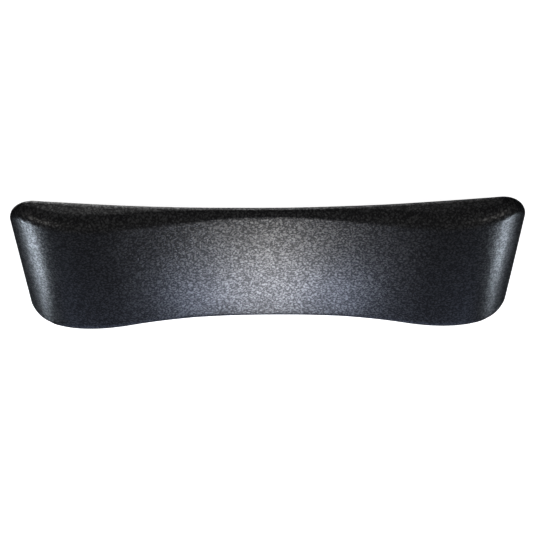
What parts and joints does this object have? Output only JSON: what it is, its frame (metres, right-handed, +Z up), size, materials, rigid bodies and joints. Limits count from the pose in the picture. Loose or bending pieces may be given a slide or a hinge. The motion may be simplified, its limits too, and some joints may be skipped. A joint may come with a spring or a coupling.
{
  "type": "chair armrest pad",
  "caption": "Saddle-shaped arm pad with a grained polyurethane skin on foam, a moulded carrier, a steel mounting plate and an underside cover.",
  "frame": {"origin": "centre of the steel plate's mounting face, on the underside", "axes": "+X along the arm, +Y across the arm, +Z up towards the armrest surface"},
  "size_m": [0.26, 0.092, 0.0264],
  "materials": {
    "skin": "fine pebbled grain, satin",
    "foam": "open-cell foam, matt",
    "carrier_plastic": "moulded, matt",
    "plate_steel": "zinc plated, brushed",
    "insert_brass": "turned",
    "screw_steel": "zinc plated",
    "cover_plastic": "fine spark-eroded texture",
    "screw_black": "black oxide"
  },
  "bodies": {
    "root": {"pad_skin": "skin", "foam_core": "foam", "carrier": "carrier_plastic", "mounting_plate": "plate_steel", "threaded_inserts": "insert_brass", "plate_screws": "screw_steel", "base_cover": "cover_plastic", "cover_screws": "screw_black"}
  },
  "joints": []
}
